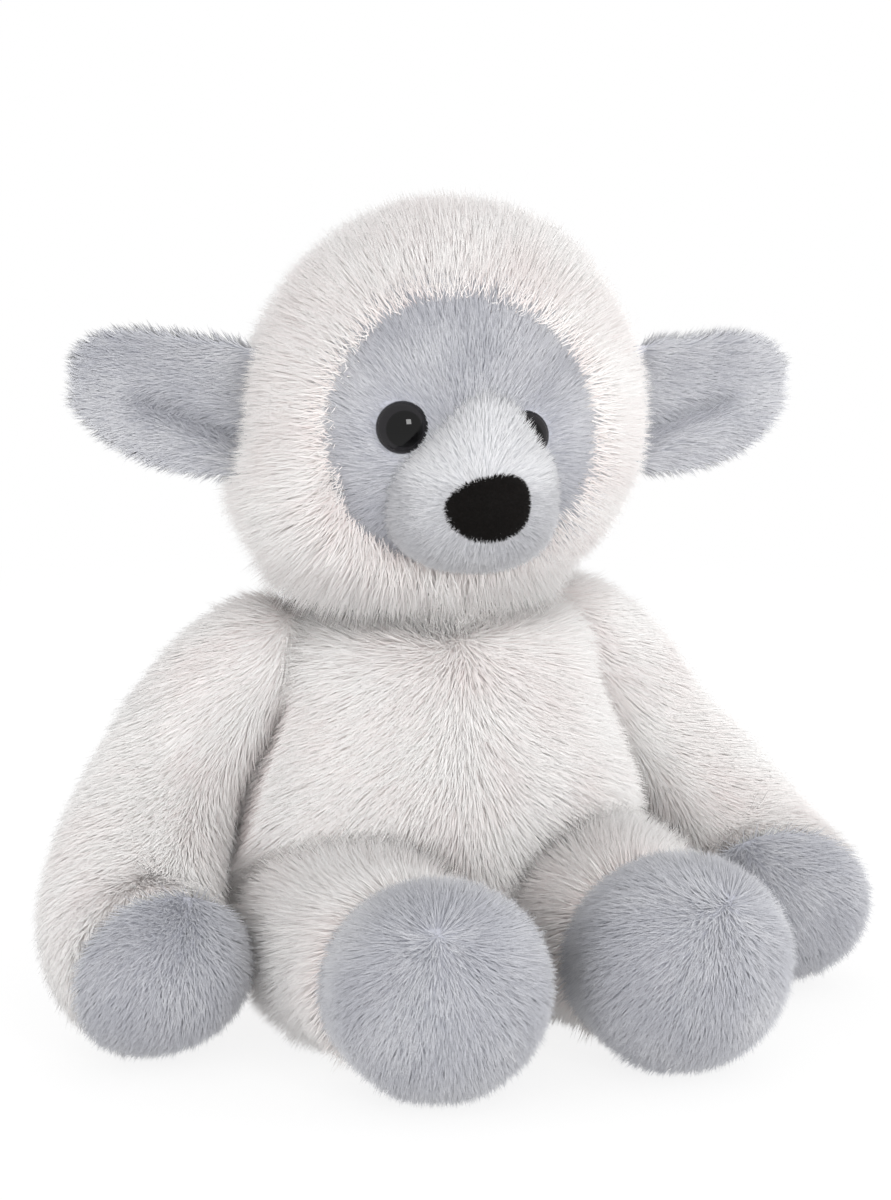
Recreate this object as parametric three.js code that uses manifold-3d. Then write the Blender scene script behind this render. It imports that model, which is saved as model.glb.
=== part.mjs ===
// A seated plush sheep, in millimetres, +Z up and facing -Y.
// The origin lies on the floor in the middle of the seat. Left and right are the toy's own, so
// left is +X. The pieces are laid out from a point straight under the neck.
import * as THREE from "three";
import { mergeVertices } from "three/addons/utils/BufferGeometryUtils.js";
import Module from "manifold-3d";

const wasm = await Module();
wasm.setup();

// Clearances
const seamGap = 0.3; // two sewn panels, a skin and its filling, a hard part and its seat
const jointGap = 0.5; // two pieces that turn past each other
const neckGap = 0.7; // the neck's ball in its socket, which is faceted like the ball
const earGap = 0.5; // the two panels of an ear, which are curved
const weldDistance = 0.0005; // vertices nearer than this are one vertex
const overrun = 5; // how far a cutting shape runs past what it cuts
const reach = 400; // half the side of a box that stands for all space on one side of a plane
const flatDepth = 0.5; // how much of a round form the floor presses flat

// Fabrics: backing and pile together
const fleece = 9.5; // the long white pile of the hood, body, arms and legs
const plush = 5.5; // the shorter grey pile of the face, ears, hands and feet
const velour = 4.5; // the clipped pile of the muzzle
const crushed = 4; // white pile crushed under the seat

// Body
const body = { height: 121, halfWidth: 62, front: 45, back: 50 };
const seatBack = 24; // how far the middle of the seat lies behind the neck

// Neck
const neckRise = 3; // the turning point of the head above the top of the body
const neckHeight = body.height + neckRise;
const neckRadius = 18; // the ball of firm filling in the neck
const headTurn = -11; // degrees: the head looks a little to its own right
const headTilt = 3; // degrees: and leans a little to its left

// Head, in its own frame: origin at the turning point of the neck
const head = { rise: 54, halfWidth: 59, front: 55, back: 57, up: 63, down: 54 };
const headFullness = { top: 2.05, bottom: 2.7 };
const facePiled = 4; // how far the face lies under the hood's long pile
const faceOpening = { halfWidth: 41.5, halfHeight: 40, rise: 51.5 };
const muzzle = { rise: 31.5, forward: 38, halfWidth: 24.5, front: 30.5, back: 30, up: 27, down: 20 };
const muzzleFullness = { top: 2, bottom: 2.25 };
const nose = { rise: 34.5, forward: 63.5, halfWidth: 12.2, front: 8, back: 8, up: 9.2, down: 9.8 };
const noseFullness = { top: 2.4, bottom: 2.1 };

// Safety eyes: a domed head on a ribbed shank, held by a toothed washer behind the face
const eye = { radius: 7.5, dome: 5.4, rim: 1, sink: 3.5, aside: 19.5, rise: 53.5 };
const eyeShank = { radius: 2.1, length: 15 };
const eyeAzimuth = 25; // degrees that each eye looks outwards
const eyeRib = { count: 3, height: 0.5, pitch: 2.2 };
const washer = { radius: 7.5, hub: 3.6, thickness: 1.4, hubHeight: 3, slots: 6, slotWidth: 1 };

// Ears: two panels sewn round a leaf outline, cupped, and pinched at the root
const ear = {
  length: 54,
  halfHeight: 22,
  lift: 4, // how far the tip's line rises over the root's
  buried: 6, // how far the root runs into the head before the head cuts it
  rise: 52.5,
  seatAside: 58,
  seatBack: 4,
};
const earSweepAngle = 22; // degrees that the ears point backwards
const earCupAngle = { root: 62, tip: 16 }; // degrees on each side of the middle
const earFoldAngle = { forwards: -35, backwards: 15 }; // degrees from rest
const earShares = [
  // along, top edge, bottom edge
  [0, 0.8, -0.92],
  [0.12, 0.9, -0.98],
  [0.3, 0.97, -1],
  [0.5, 0.98, -0.94],
  [0.68, 0.93, -0.8],
  [0.82, 0.8, -0.6],
  [0.93, 0.55, -0.35],
  [1, 0.16, -0.04],
];

// The body's outline
const bodyFullness = 2.2;
const bodyShares = [
  // height, width, front, back
  [0, 0.68, 0.4, 0.78],
  [0.03, 0.78, 0.55, 0.88],
  [0.1, 0.91, 0.76, 0.96],
  [0.2, 0.98, 0.93, 1],
  [0.33, 1, 1, 1],
  [0.47, 0.98, 1, 0.98],
  [0.6, 0.92, 0.95, 0.93],
  [0.72, 0.84, 0.85, 0.84],
  [0.82, 0.75, 0.78, 0.78],
  [0.9, 0.68, 0.7, 0.7],
  [0.955, 0.57, 0.59, 0.59],
  [0.985, 0.41, 0.42, 0.42],
  [1, 0, 0, 0],
];
const pellets = { rise: 20, aft: 12, halfWidth: 44, front: 42, back: 40, up: 17, down: 40 };
const pelletFullness = { top: 2, bottom: 2.4 };
const tail = { rise: 34, halfWidth: 9, front: 9, back: 13, up: 11, down: 15, sink: 3 };
const tailFullness = { top: 2, bottom: 2 };

// Arms: each lies against the body along a plane that leans outwards to the floor
const armPlane = { aside: 58, height: 60 };
const armLeanAngle = 22; // degrees from upright
const shoulder = { aside: 45, back: 18, height: 104 };
const armSpan = { aside: 53, forward: 48, drop: 77 }; // from the shoulder to the middle of the hand
const armRadius = 27.5;
const armShares = [
  // aside, forward, drop, radius
  [-0.16, 0.04, -0.22, 0.72],
  [0, 0, -0.03, 0.76],
  [0.28, -0.04, 0.11, 0.78],
  [0.61, -0.03, 0.37, 0.81],
  [0.91, 0.24, 0.68, 0.92],
  [1.06, 0.56, 0.91, 1],
  [1, 1, 1, 1],
  [0.88, 1.5, 1.02, 0.94],
];
const wristShare = 0.835; // where the hand is sewn on, along the arm

// Legs
const hip = { aside: 37, forward: 18 };
const legSpan = { forward: 77, toeIn: 0.5 }; // from the hip to the middle of the foot
const footRadius = 31.5;
const legShares = [
  // forward, radius
  [-0.36, 0.89],
  [0, 0.89],
  [0.3, 0.89],
  [0.56, 0.89],
  [0.74, 0.89],
  [1, 1],
  [1.4, 0.94],
];
const ankleShare = 0.6; // where the foot is sewn on, along the leg
const legUp = 6; // degrees that a leg lifts before the belly stops it
const legDown = -70; // degrees that it hangs when the toy is held up

// Facets
const fine = { around: 32, along: 18 };
const medium = { around: 20, along: 12 };
const coarse = { around: 14, along: 9 };
const earFacets = { across: 8, along: 9 };
const limbFacets = { around: 20, along: 18 };
const eyeDomeSteps = 4;
const openingSides = 32;
const shaftSides = 16;

// Colours
const finishes = {
  white: { color: 0xe9e7e3, roughness: 0.95, metalness: 0 },
  grey: { color: 0xb9c0cb, roughness: 0.95, metalness: 0 },
  paleGrey: { color: 0xc9ced6, roughness: 0.95, metalness: 0 },
  black: { color: 0x0d0d0f, roughness: 0.9, metalness: 0 },
  glossBlack: { color: 0x08080a, roughness: 0.08, metalness: 0 },
  clearWhite: { color: 0xdfe2e4, roughness: 0.4, metalness: 0 },
  filling: { color: 0xf4f4f2, roughness: 1, metalness: 0 },
  calico: { color: 0xd8d2c4, roughness: 0.9, metalness: 0 },
};

const radians = THREE.MathUtils.degToRad;
const vector = (x, y, z) => new THREE.Vector3(x, y, z);

// Closed grids and solids

// Rings of points from one end to the other, each end closed on its middle point.
function closedGrid(around, rows, pointAt, middleAt = (row) => pointAt(0, row)) {
  const last = rows.length - 1;
  const positions = middleAt(rows[0]).toArray();
  for (let j = 1; j < last; j += 1) {
    for (let i = 0; i < around; i += 1) positions.push(...pointAt(i / around, rows[j]).toArray());
  }
  positions.push(...middleAt(rows[last]).toArray());
  const at = (j, i) => 1 + (j - 1) * around + (i % around);
  const end = at(last, 0);
  const index = [];
  for (let i = 0; i < around; i += 1) {
    index.push(0, at(1, i + 1), at(1, i));
    for (let j = 1; j < last - 1; j += 1) {
      index.push(at(j, i), at(j, i + 1), at(j + 1, i + 1));
      index.push(at(j, i), at(j + 1, i + 1), at(j + 1, i));
    }
    index.push(at(last - 1, i), at(last - 1, i + 1), end);
  }
  const geometry = new THREE.BufferGeometry();
  geometry.setAttribute("position", new THREE.Float32BufferAttribute(positions, 3));
  geometry.setIndex(index);
  return geometry;
}

function solidOf(geometry) {
  const bare = geometry.clone();
  bare.deleteAttribute("normal");
  bare.deleteAttribute("uv");
  const welded = mergeVertices(bare, weldDistance);
  return new wasm.Manifold(
    new wasm.Mesh({
      numProp: 3,
      vertProperties: welded.attributes.position.array,
      triVerts: new Uint32Array(welded.index.array),
    }),
  );
}

function geometryOf(solid) {
  const mesh = solid.getMesh();
  const geometry = new THREE.BufferGeometry();
  geometry.setAttribute("position", new THREE.BufferAttribute(mesh.vertProperties, 3));
  geometry.setIndex(new THREE.BufferAttribute(mesh.triVerts, 1));
  geometry.computeVertexNormals();
  return geometry;
}

// The same solid in another place: turned, then moved.
function placed(solid, position, rotation = new THREE.Euler()) {
  const turn = new THREE.Quaternion().setFromEuler(rotation);
  const matrix = new THREE.Matrix4().compose(position, turn, vector(1, 1, 1));
  return solidOf(geometryOf(solid).applyMatrix4(matrix));
}

// The same solid seen in a mirror on the middle plane, with its faces turned out again.
function mirrored(solid) {
  const geometry = geometryOf(solid).scale(-1, 1, 1);
  const index = geometry.index.array;
  for (let i = 0; i < index.length; i += 3) [index[i], index[i + 1]] = [index[i + 1], index[i]];
  return solidOf(geometry);
}

const bothSides = (solid) => solid.add(mirrored(solid));

// All the space on one side of the plane through a point, on the side that its normal points to.
function halfSpace(point, normal) {
  const box = new THREE.BoxGeometry(2 * reach, 2 * reach, 2 * reach).translate(0, 0, reach);
  box.applyQuaternion(new THREE.Quaternion().setFromUnitVectors(vector(0, 0, 1), normal));
  return solidOf(box.translate(point.x, point.y, point.z));
}

const underFloor = halfSpace(vector(0, 0, 0), vector(0, 0, -1));

// A round bar on +Z between two heights.
function bar(radius, low, high) {
  const geometry = new THREE.CylinderGeometry(radius, radius, high - low, shaftSides);
  return solidOf(geometry.rotateX(Math.PI / 2).translate(0, 0, (low + high) / 2));
}

// A stuffed form round its middle. Fullness 2 is an ellipsoid, and more is squarer.
function stuffed(size, fullness, centre, inset, facets) {
  const rows = Array.from({ length: facets.along + 1 }, (_, j) => j / facets.along);
  const geometry = closedGrid(facets.around, rows, (turn, row) => {
    const azimuth = 2 * Math.PI * turn;
    const ring = Math.sin(Math.PI * row);
    const way = vector(ring * Math.cos(azimuth), ring * Math.sin(azimuth), -Math.cos(Math.PI * row));
    const mix = THREE.MathUtils.smoothstep(way.z, -0.5, 0.5);
    const power = THREE.MathUtils.lerp(fullness.bottom, fullness.top, mix);
    const deep = (way.y < 0 ? size.front : size.back) - inset;
    const tall = (way.z < 0 ? size.down : size.up) - inset;
    const shares = [way.x / (size.halfWidth - inset), way.y / deep, way.z / tall];
    const sum = shares.reduce((total, share) => total + Math.abs(share) ** power, 0);
    return way.multiplyScalar(sum ** (-1 / power)).add(centre);
  });
  return solidOf(geometry);
}

// A table of shares read as a smooth curve of one column against the row.
function smoothColumn(table, column) {
  const curve = new THREE.SplineCurve(table.map((row, i) => new THREE.Vector2(i, row[column])));
  return (share) => curve.getPoint(share).y;
}

// A limb swept along its middle line, with round ends.
function limb(middle, radii, inset, facets) {
  const line = new THREE.CatmullRomCurve3(middle);
  const radiusAt = smoothColumn(radii.map((radius) => [radius]), 0);
  const trim = inset / line.getLength();
  const rows = Array.from({ length: facets.along + 1 }, (_, j) => {
    const share = (1 - Math.cos((Math.PI * j) / facets.along)) / 2;
    return trim + share * (1 - 2 * trim);
  });
  const ends = [line.getPoint(trim), line.getPoint(1 - trim)];
  const endRadii = [radii[0] - inset, radii[radii.length - 1] - inset];
  const across = vector(1, 0, 1).normalize();
  const geometry = closedGrid(facets.around, rows, (turn, row) => {
    const centre = line.getPoint(row);
    const ahead = line.getTangent(row);
    const up = ahead.clone().cross(across).normalize();
    const side = up.clone().cross(ahead);
    const tapers = ends.map((end, i) => {
      const along = Math.min(centre.distanceTo(end) / endRadii[i], 1);
      return Math.sqrt(1 - (1 - along) ** 2);
    });
    const radius = (radiusAt(row) - inset) * Math.min(...tapers);
    const azimuth = 2 * Math.PI * turn;
    centre.addScaledVector(side, radius * Math.cos(azimuth));
    return centre.addScaledVector(up, radius * Math.sin(azimuth));
  });
  return solidOf(geometry);
}

// The group and its named pieces

const sheep = new THREE.Group();
sheep.position.set(0, -seatBack, 0);
const headGroup = new THREE.Group();
headGroup.position.set(0, 0, neckHeight);
headGroup.rotation.set(0, radians(headTilt), radians(headTurn), "ZYX");
sheep.add(headGroup);

function addPiece(name, solid, finish, group = sheep) {
  const mesh = new THREE.Mesh(geometryOf(solid), new THREE.MeshStandardMaterial(finishes[finish]));
  mesh.name = name;
  group.add(mesh);
}

function addPair(name, leftSolid, finish, group = sheep) {
  addPiece(`${name}_left`, leftSolid, finish, group);
  addPiece(`${name}_right`, mirrored(leftSolid), finish, group);
}

// Neck: a ball of firm filling that sits half in the head's opening and half in the body's

const neckBall = (gap) => solidOf(new THREE.SphereGeometry(neckRadius + gap, medium.around, medium.along));

// Eyes, each modelled on +Z and then turned to where the left one looks

const faceHalf = { side: head.halfWidth - facePiled, front: head.front - facePiled };
const eyeForward = faceHalf.front * Math.sqrt(1 - (eye.aside / faceHalf.side) ** 2) - eye.sink;
const eyeSeat = vector(eye.aside, -eyeForward, eye.rise);
const eyeWay = new THREE.Euler(Math.PI / 2, 0, radians(eyeAzimuth), "ZYX");
const onEye = (solid) => placed(solid, eyeSeat, eyeWay);

function eyeSolid() {
  const core = eyeShank.radius - eyeRib.height;
  const profile = [new THREE.Vector2(0, -eyeShank.length), new THREE.Vector2(core, -eyeShank.length)];
  for (let i = 0; i < eyeRib.count; i += 1) {
    const low = -eyeShank.length + (i + 1) * eyeRib.pitch;
    profile.push(new THREE.Vector2(eyeShank.radius, low - eyeRib.height));
    profile.push(new THREE.Vector2(core, low));
  }
  profile.push(new THREE.Vector2(core, 0), new THREE.Vector2(eye.radius, 0));
  for (let i = 0; i < eyeDomeSteps; i += 1) {
    const angle = (Math.PI / 2) * (i / eyeDomeSteps);
    const height = eye.rim + (eye.dome - eye.rim) * Math.sin(angle);
    profile.push(new THREE.Vector2(eye.radius * Math.cos(angle), height));
  }
  profile.push(new THREE.Vector2(0, eye.dome));
  return solidOf(new THREE.LatheGeometry(profile, shaftSides).rotateX(Math.PI / 2));
}

function washerSolid() {
  const disc = bar(washer.radius, 0, washer.thickness);
  const hub = bar(washer.hub, -washer.hubHeight, washer.thickness);
  const bore = bar(eyeShank.radius + seamGap, -washer.hubHeight - overrun, overrun);
  const slotLength = washer.radius - washer.hub;
  let solid = disc.add(hub).subtract(bore);
  for (let i = 0; i < washer.slots; i += 1) {
    const slot = new THREE.BoxGeometry(slotLength, washer.slotWidth, 2 * overrun);
    slot.translate(washer.hub + washer.slotWidth + slotLength / 2, 0, 0);
    solid = solid.subtract(solidOf(slot.rotateZ((2 * Math.PI * i) / washer.slots)));
  }
  return solid;
}

const washerDepth = plush + eye.sink;
const washerPlace = vector(0, 0, -washerDepth - washer.thickness);
const eyeSeats = bothSides(onEye(bar(eye.radius + seamGap, -seamGap, eye.dome + overrun)));
const shankHoles = bothSides(onEye(bar(eyeShank.radius + seamGap, -eyeShank.length - seamGap, overrun)));
const washerEnd = washerDepth + washer.thickness + washer.hubHeight;
const washerPockets = bothSides(onEye(bar(washer.radius + seamGap, -washerEnd - seamGap, overrun)));

// Head

const headCentre = vector(0, 0, head.rise);
const headForm = (inset, facets) => stuffed(head, headFullness, headCentre, inset, facets);
const muzzleCentre = vector(0, -muzzle.forward, muzzle.rise);
const muzzleForm = (inset, facets) => stuffed(muzzle, muzzleFullness, muzzleCentre, inset, facets);

// The oval opening of the hood, from the middle of the head out through its front.
function faceOval(gap) {
  const length = head.front + overrun;
  const oval = new THREE.CylinderGeometry(1, 1, 1, openingSides);
  oval.scale(faceOpening.halfWidth - gap, length, faceOpening.halfHeight - gap);
  return solidOf(oval.translate(0, -length / 2, faceOpening.rise));
}

const hood = headForm(0, fine)
  .subtract(headForm(fleece, medium))
  .subtract(faceOval(0))
  .subtract(muzzleForm(-seamGap, medium))
  .subtract(neckBall(neckGap));
addPiece("head_hood", hood, "white", headGroup);

const face = headForm(facePiled, fine)
  .subtract(headForm(facePiled + plush, medium))
  .intersect(faceOval(seamGap))
  .subtract(muzzleForm(-seamGap, medium))
  .subtract(eyeSeats)
  .subtract(shankHoles);
addPiece("face_panel", face, "grey", headGroup);

const muzzleSkin = muzzleForm(0, medium)
  .subtract(muzzleForm(velour, coarse))
  .subtract(headForm(facePiled + plush, medium))
  .subtract(eyeSeats)
  .subtract(shankHoles);

const noseCentre = vector(0, -nose.forward, nose.rise);
const nosePad = stuffed(nose, noseFullness, noseCentre, 0, medium).subtract(muzzleForm(-seamGap, medium));

addPiece("muzzle", muzzleSkin, "paleGrey", headGroup);
addPiece("nose", nosePad, "black", headGroup);
addPair("eye", onEye(eyeSolid()), "glossBlack", headGroup);
addPair("eye_washer", onEye(placed(washerSolid(), washerPlace)), "clearWhite", headGroup);

const headFilling = headForm(fleece + seamGap, medium)
  .add(muzzleForm(velour + seamGap, coarse))
  .subtract(neckBall(neckGap))
  .subtract(washerPockets)
  .subtract(shankHoles);
addPiece("head_filling", headFilling, "filling", headGroup);

// Ears, each modelled with its root at its hinge and its tip on +X

const earTop = smoothColumn(earShares, 1);
const earBottom = smoothColumn(earShares, 2);
const earAlong = smoothColumn(earShares, 0);

// The point of the ear's middle sheet at a share along it and across it, and the way to its front.
function earSheet(share, side) {
  const along = Math.max(share, 0);
  const high = earTop(along) * ear.halfHeight;
  const low = earBottom(along) * ear.halfHeight;
  const cup = radians(THREE.MathUtils.lerp(earCupAngle.root, earCupAngle.tip, Math.sqrt(along)));
  const radius = (high - low) / 2 / Math.sin(cup);
  const angle = side * cup;
  const forward = radius * (1 - Math.cos(angle)) - (radius * (1 - Math.cos(cup))) / 2;
  const x = share < 0 ? share * ear.length : earAlong(share) * ear.length;
  const z = (high + low) / 2 + ear.lift * along + radius * Math.sin(angle);
  return { point: vector(x, -forward, z), front: vector(0, -Math.cos(angle), -Math.sin(angle)) };
}

// One panel of the ear: face is 1 for the front one and -1 for the back one.
function earPanel(face) {
  const around = 2 * earFacets.across;
  const start = -ear.buried / ear.length;
  const steps = earFacets.along;
  const rows = Array.from({ length: steps + 1 }, (_, j) => start + (1 - start) * (j / steps));
  rows.unshift(start);
  rows.push(1);
  const thicknessAt = (share, side) => {
    const tip = Math.sqrt(Math.max(1 - Math.max(share, 0) ** 6, 0));
    return plush * Math.sqrt(Math.max(1 - side ** 4, 0)) * tip;
  };
  const pointAt = (turn, row) => {
    const step = turn * around;
    const outer = step <= earFacets.across;
    const sweep = 1 - Math.abs((2 * step) / earFacets.across - 2);
    const side = -face * sweep;
    const { point, front } = earSheet(row, side);
    const offset = earGap / 2 + (outer ? thicknessAt(row, side) : 0);
    return point.addScaledVector(front, face * offset);
  };
  const middleAt = (row) => {
    const { point, front } = earSheet(row, 0);
    return point.addScaledVector(front, face * (earGap / 2 + thicknessAt(row, 0) / 2));
  };
  return solidOf(closedGrid(around, rows, pointAt, middleAt));
}

// The head as an ear meets it, at rest and at both ends of the ear's swing.
const earSeat = vector(ear.seatAside, ear.seatBack, ear.rise);
const headAtEar = [earFoldAngle.forwards, 0, earFoldAngle.backwards].map((swing) => {
  const turn = new THREE.Euler(0, 0, radians(-swing));
  const away = headForm(-jointGap, fine).translate(-earSeat.x, -earSeat.y, -earSeat.z);
  return placed(placed(away, vector(0, 0, 0), turn), earSeat);
});
for (const [name, facing] of [
  ["ear_front", 1],
  ["ear_back", -1],
]) {
  const rest = placed(earPanel(facing), earSeat, new THREE.Euler(0, 0, radians(earSweepAngle)));
  const cut = headAtEar.reduce((solid, headSolid) => solid.subtract(headSolid), rest);
  addPair(name, cut, "grey", headGroup);
}

// Body

const bodyWidth = smoothColumn(bodyShares, 1);
const bodyFront = smoothColumn(bodyShares, 2);
const bodyBack = smoothColumn(bodyShares, 3);
const bodyRise = smoothColumn(bodyShares, 0);

// The body's form, with its sides drawn in and its seat lifted where a skin or filling lies inside.
function bodyForm(inset, seat, facets) {
  const rows = Array.from({ length: facets.along + 1 }, (_, j) => j / facets.along);
  rows.unshift(0);
  const top = body.height - inset;
  const heightAt = (row) => seat + bodyRise(row) * (top - seat);
  const round = (share) => Math.sign(share) * Math.abs(share) ** (2 / bodyFullness);
  const pointAt = (turn, row) => {
    const aside = round(Math.cos(2 * Math.PI * turn));
    const deep = round(Math.sin(2 * Math.PI * turn));
    const depth = deep < 0 ? bodyFront(row) * (body.front - inset) : bodyBack(row) * (body.back - inset);
    const width = bodyWidth(row) * (body.halfWidth - inset);
    return vector(aside * width, deep * depth, heightAt(row));
  };
  return solidOf(closedGrid(facets.around, rows, pointAt, (row) => vector(0, 0, heightAt(row))));
}

// The side of the body, where the left arm lies: a plane that leans outwards.
const leanWay = vector(Math.cos(radians(armLeanAngle)), 0, Math.sin(radians(armLeanAngle)));
function outsideArmPlane(gap) {
  const point = vector(armPlane.aside, 0, armPlane.height).addScaledVector(leanWay, gap);
  return halfSpace(point, leanWay);
}

// The space that the legs sweep from hanging to lifted, seen from the side and grown by a gap.
function legSweep(gap) {
  const radius = footRadius * legShares[0][1] + gap;
  const far = body.front + body.back;
  const middle = new THREE.Vector2(-hip.forward, footRadius * legShares[0][1] - flatDepth);
  const along = (swing) => new THREE.Vector2(-Math.cos(radians(swing)), Math.sin(radians(swing)));
  const over = (swing) => new THREE.Vector2(Math.sin(radians(swing)), Math.cos(radians(swing)));
  const crest = middle.clone().addScaledVector(over(legUp), radius);
  const high = crest.clone().addScaledVector(along(legUp), far);
  const low = middle.clone().addScaledVector(over(legDown), -radius).addScaledVector(along(legDown), far);
  const outline = new THREE.Shape();
  outline.moveTo(high.x, high.y);
  outline.lineTo(crest.x, crest.y);
  outline.absarc(middle.x, middle.y, radius, over(legUp).angle(), over(legDown).negate().angle(), true);
  outline.lineTo(low.x, low.y);
  const width = 2 * (hip.aside + radius);
  const slab = new THREE.ExtrudeGeometry(outline, { depth: width, bevelEnabled: false, curveSegments: 24 });
  const turn = new THREE.Matrix4().makeBasis(vector(0, 1, 0), vector(0, 0, 1), vector(1, 0, 0));
  return solidOf(slab.applyMatrix4(turn).translate(-width / 2, 0, 0));
}

// The room inside the body's skin, with thinner walls where the seat, arms and legs press on it.
function bodyRoom(inset, wall, facets) {
  return bodyForm(inset, wall, facets)
    .subtract(bothSides(outsideArmPlane(-wall - jointGap / 2)))
    .subtract(legSweep(wall + jointGap));
}

const neckInBody = (gap) => neckBall(gap).translate(0, 0, neckHeight);
addPiece("neck_filling", neckInBody(0), "filling");

const bodyRim = bodyForm(0, 0, fine)
  .subtract(bothSides(outsideArmPlane(-jointGap / 2)))
  .subtract(legSweep(jointGap));
const bodySkin = bodyRim.subtract(bodyRoom(fleece, crushed, medium)).subtract(neckInBody(neckGap));
addPiece("body", bodySkin, "white");

const bodyInside = bodyRoom(fleece + seamGap, crushed + seamGap, medium)
  .subtract(neckInBody(neckGap + seamGap));
const pelletMiddle = vector(0, pellets.aft, pellets.rise);
const pelletForm = (inset) => stuffed(pellets, pelletFullness, pelletMiddle, inset, medium);
addPiece("pellet_bag", bodyInside.intersect(pelletForm(0)), "calico");
addPiece("body_filling", bodyInside.subtract(pelletForm(-seamGap)), "filling");

const tailMiddle = vector(0, body.back - tail.sink, tail.rise);
const tailForm = stuffed(tail, tailFullness, tailMiddle, 0, medium);
addPiece("tail", tailForm.subtract(bodyForm(-seamGap, 0, fine)), "white");

// Arms and legs: a white sleeve and a grey end on one line, each a skin over the same filling

function limbPieces(names, middle, radii, seamShare, outside) {
  const line = new THREE.CatmullRomCurve3(middle);
  const seam = line.getPoint(seamShare);
  const way = line.getTangent(seamShare);
  const beyond = (gap) => halfSpace(seam.clone().addScaledVector(way, gap), way);
  const form = (inset, facets) => limb(middle, radii, inset, facets);
  const grounded = (solid) => solid.subtract(underFloor);
  const upper = (inset, facets, wall) => outside(form(inset, facets), wall).subtract(beyond(-seamGap / 2));
  const end = (inset, facets) => form(inset, facets).intersect(beyond(seamGap / 2));
  const upperInside = outside(form(fleece, coarse), crushed);
  const endInside = form(plush, coarse);
  addPair(names.upper, grounded(upper(0, limbFacets, 0)).subtract(upperInside), "white");
  addPair(names.end, grounded(end(0, limbFacets)).subtract(endInside), "grey");
  const upperFilling = outside(form(fleece + seamGap, coarse), crushed + seamGap);
  const endFilling = form(plush + seamGap, coarse).intersect(beyond(seamGap));
  addPair(names.filling, upperFilling.add(endFilling), "filling");
}

const armMiddle = armShares.map(([aside, forward, drop]) =>
  vector(
    shoulder.aside + armSpan.aside * aside,
    shoulder.back - armSpan.forward * forward,
    shoulder.height - armSpan.drop * drop,
  ),
);
const armRadii = armShares.map((row) => armRadius * row[3]);
limbPieces(
  { upper: "arm", end: "hand", filling: "arm_filling" },
  armMiddle,
  armRadii,
  wristShare,
  (solid, wall) => solid.intersect(outsideArmPlane(wall + jointGap / 2)),
);

const legRadii = legShares.map((row) => footRadius * row[1]);
const legMiddle = legShares.map(([forward], i) => {
  const ahead = hip.forward + legSpan.forward * forward;
  return vector(hip.aside - legSpan.toeIn * forward, -ahead, legRadii[i] - flatDepth);
});
limbPieces(
  { upper: "leg", end: "foot", filling: "leg_filling" },
  legMiddle,
  legRadii,
  ankleShare,
  (solid) => solid,
);

export default sheep;
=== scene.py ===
"""A seated plush sheep: its skins, its pile, its eyes and its nose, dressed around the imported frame.

Blender's metres hold everywhere outside the tables, which are in millimetres as a pattern maker
writes them. Left and right are the toy's own, so left is +X, and the toy faces -Y.
"""
from math import cos, pi, radians, sin, sqrt

import bmesh
import bpy
import numpy as np
from mathutils import Euler, Matrix, Vector


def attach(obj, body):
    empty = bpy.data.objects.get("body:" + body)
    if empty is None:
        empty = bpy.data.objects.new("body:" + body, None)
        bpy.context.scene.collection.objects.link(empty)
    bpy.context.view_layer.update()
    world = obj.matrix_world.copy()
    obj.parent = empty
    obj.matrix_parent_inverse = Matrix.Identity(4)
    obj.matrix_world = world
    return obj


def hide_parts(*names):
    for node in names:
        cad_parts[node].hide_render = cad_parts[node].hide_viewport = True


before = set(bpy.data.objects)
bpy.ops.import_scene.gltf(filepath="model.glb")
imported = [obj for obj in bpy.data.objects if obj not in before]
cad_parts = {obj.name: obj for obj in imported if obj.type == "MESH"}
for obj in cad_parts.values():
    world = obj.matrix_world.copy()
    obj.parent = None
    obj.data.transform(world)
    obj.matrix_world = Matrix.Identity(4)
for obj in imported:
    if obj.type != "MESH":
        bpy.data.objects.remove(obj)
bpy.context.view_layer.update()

MM = 0.001
scene = bpy.context.scene

# Photograph: the camera stands to the toy's right and a little above it
camera_azimuth = -21.5  # degrees from straight ahead
camera_elevation = 11.1  # degrees
camera_distance = 1.063  # metres from what it looks at
camera_aim = dict(aside=0.0021, height=0.1203)
camera_lens = 107.7  # millimetres, on a sensor that is 36 on its long side

# Forms, in millimetres, as the pattern has them
seat_back = 24  # how far the middle of the seat lies behind the neck
body = dict(height=121, half_width=62, front=45, back=50, fullness=2.2)
body_shares = [
    # height, width, front, back
    (0, 0.68, 0.4, 0.78),
    (0.03, 0.78, 0.55, 0.88),
    (0.1, 0.91, 0.76, 0.96),
    (0.2, 0.98, 0.93, 1),
    (0.33, 1, 1, 1),
    (0.47, 0.98, 1, 0.98),
    (0.6, 0.92, 0.95, 0.93),
    (0.72, 0.84, 0.85, 0.84),
    (0.82, 0.75, 0.78, 0.78),
    (0.9, 0.7, 0.72, 0.72),
    (0.955, 0.61, 0.62, 0.62),
    (0.985, 0.47, 0.48, 0.48),
    (1, 0, 0, 0),
]
neck_height = 124
head_turn = -11  # degrees
head_tilt = 3
head = dict(half_width=59, front=55, back=57, up=63, down=54, top=2.05, bottom=2.7)
head_centre = (0, 0, 54)
opening = dict(aside=-3.2, half_width=39.5, half_height=39.5, rise=51.5)
muzzle = dict(half_width=26, front=30.5, back=30, up=37, down=20, top=2, bottom=2.25)
bridge = dict(narrower=0.32, flatter=0.12, aside=2.4)  # how the muzzle fades upwards between the eyes
muzzle_centre = (0, -38, 31.5)
nose = dict(half_width=12.2, front=8, back=8, up=9.2, down=9.8, top=2.4, bottom=2.1)
nose_centre = (0.3, -63.3, 33.8)
eye = dict(radius=7.5, dome=5.4, rim=1, shank=3.5)
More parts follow.
